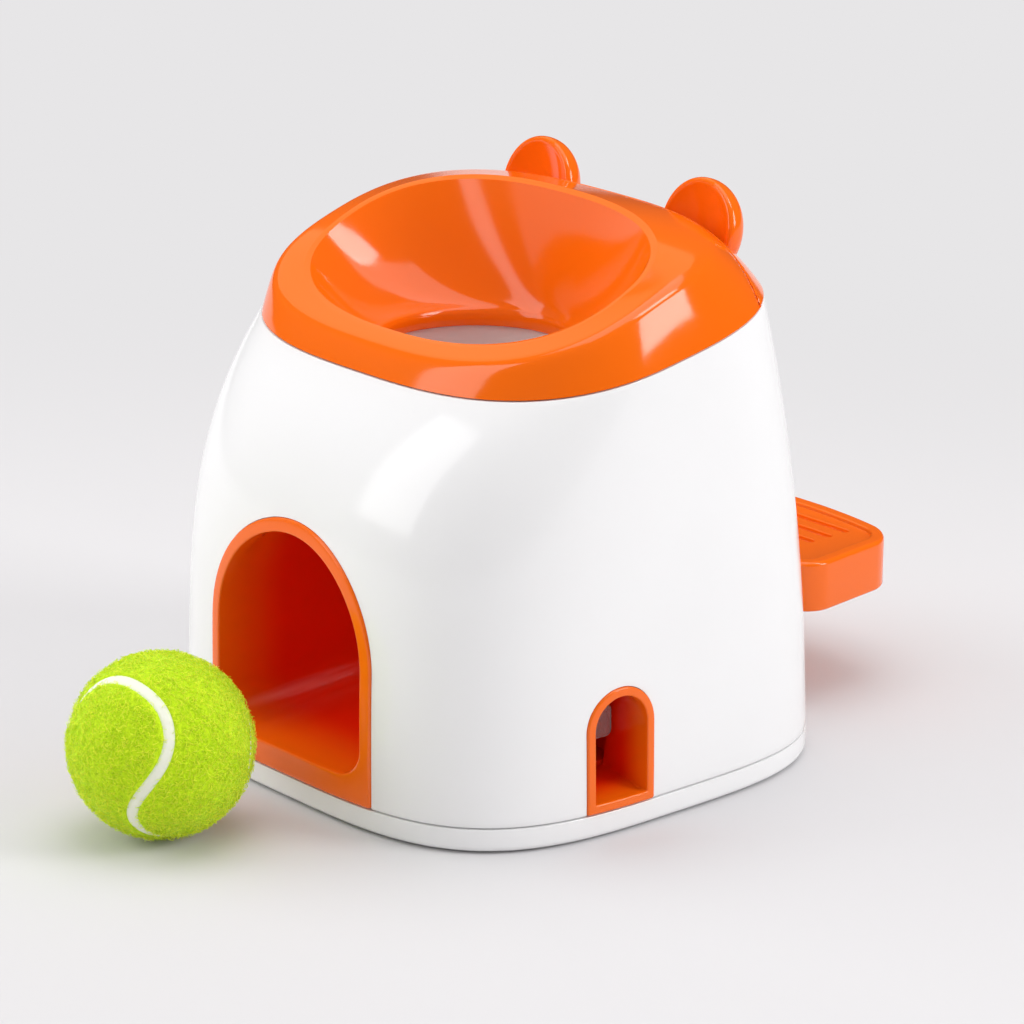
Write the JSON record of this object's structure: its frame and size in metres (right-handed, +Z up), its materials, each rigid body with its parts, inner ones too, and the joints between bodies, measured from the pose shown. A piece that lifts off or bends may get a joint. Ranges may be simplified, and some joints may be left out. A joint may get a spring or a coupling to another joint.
{
  "type": "tennis ball treat dispenser",
  "caption": "Dog treat dispenser: a ball dropped in the bowl rolls out of the arch and trips a drum, or a pedal turns it, and a treat slides out of the side outlet.",
  "frame": {"origin": "middle of the base's underside, on the floor", "axes": "+Z up, -Y to the front with the ball arch, +X to the side with the treat outlet, +Y to the back with the pedal"},
  "size_m": [0.1968, 0.3394, 0.205],
  "materials": {
    "white_gloss": "glossy moulded plastic",
    "orange_gloss": "glossy moulded plastic",
    "milky_plastic": "satin moulded plastic",
    "clear_plastic": "clear sheet",
    "grey_plastic": "satin moulded plastic",
    "cream_plastic": "satin moulded plastic",
    "steel": "plain steel",
    "bronze": "sintered bronze",
    "dark_rubber": "matte rubber",
    "white_rubber": "matte rubber",
    "green_felt": "woolly felt"
  },
  "bodies": {
    "dispenser": {"base_tray": "white_gloss", "rubber_feet": "dark_rubber", "base_screws": "steel", "body_shell": "white_gloss", "funnel_cover": "orange_gloss", "drop_tube": "white_gloss", "ball_chute": "orange_gloss", "chute_screws": "steel", "treat_hopper": "milky_plastic", "hopper_screws": "steel", "treat_chute": "orange_gloss", "trough_screws": "steel", "treat_spout": "orange_gloss", "flap_pin": "steel", "left_side_plate": "grey_plastic", "right_side_plate": "grey_plastic", "plate_screws": "steel", "shaft_bushes": "bronze", "pedal_shaft": "steel", "pedal_shaft_clips": "steel", "lid_hinge_pin": "steel", "pedal_spring": "steel"},
    "lid": {"hopper_lid": "orange_gloss", "left_ear": "orange_gloss", "right_ear": "orange_gloss"},
    "pedal_unit": {"pedal": "orange_gloss", "pedal_lever": "grey_plastic", "pedal_screws": "steel"},
    "drum_unit": {"dosing_drum": "cream_plastic", "drum_shaft": "steel", "drum_pinion": "cream_plastic", "trip_paddle": "orange_gloss", "drum_shaft_clips": "steel"},
    "flap": {"treat_flap": "clear_plastic"},
    "ball": {"ball_core": "dark_rubber", "ball_felt": "green_felt", "ball_seam": "white_rubber"}
  },
  "joints": [
    {"name": "lid_hinge", "type": "hinge", "parent": "dispenser", "child": "lid", "pos_m": [0, 0.08036, 0.16754], "axis": [-1, 0, 0], "range_deg": [0, 100]},
    {"name": "pedal_press", "type": "hinge", "parent": "dispenser", "child": "pedal_unit", "pos_m": [0, 0.06807, 0.044], "axis": [-1, 0, 0], "range_deg": [0, 13], "stiffness_Nm_per_rad": 0.8, "springref_deg": -14.32, "deforming": ["pedal_spring"]},
    {"name": "drum_turn", "type": "hinge", "parent": "dispenser", "child": "drum_unit", "pos_m": [0, 0.046, 0.08662], "axis": [1, 0, 0], "range_deg": [0, 91.5]},
    {"name": "flap_swing", "type": "hinge", "parent": "dispenser", "child": "flap", "pos_m": [0.08058, -0.0273, 0.04774], "axis": [0, -1, 0], "range_deg": [0, 50]},
    {"name": "ball_roll", "type": "slide", "parent": "dispenser", "child": "ball", "axis": [0, -1, 0], "range_m": [0, 0.2]}
  ],
  "couplings": [
    {"joint": "drum_turn", "follows": "pedal_press", "ratio": 7}
  ]
}
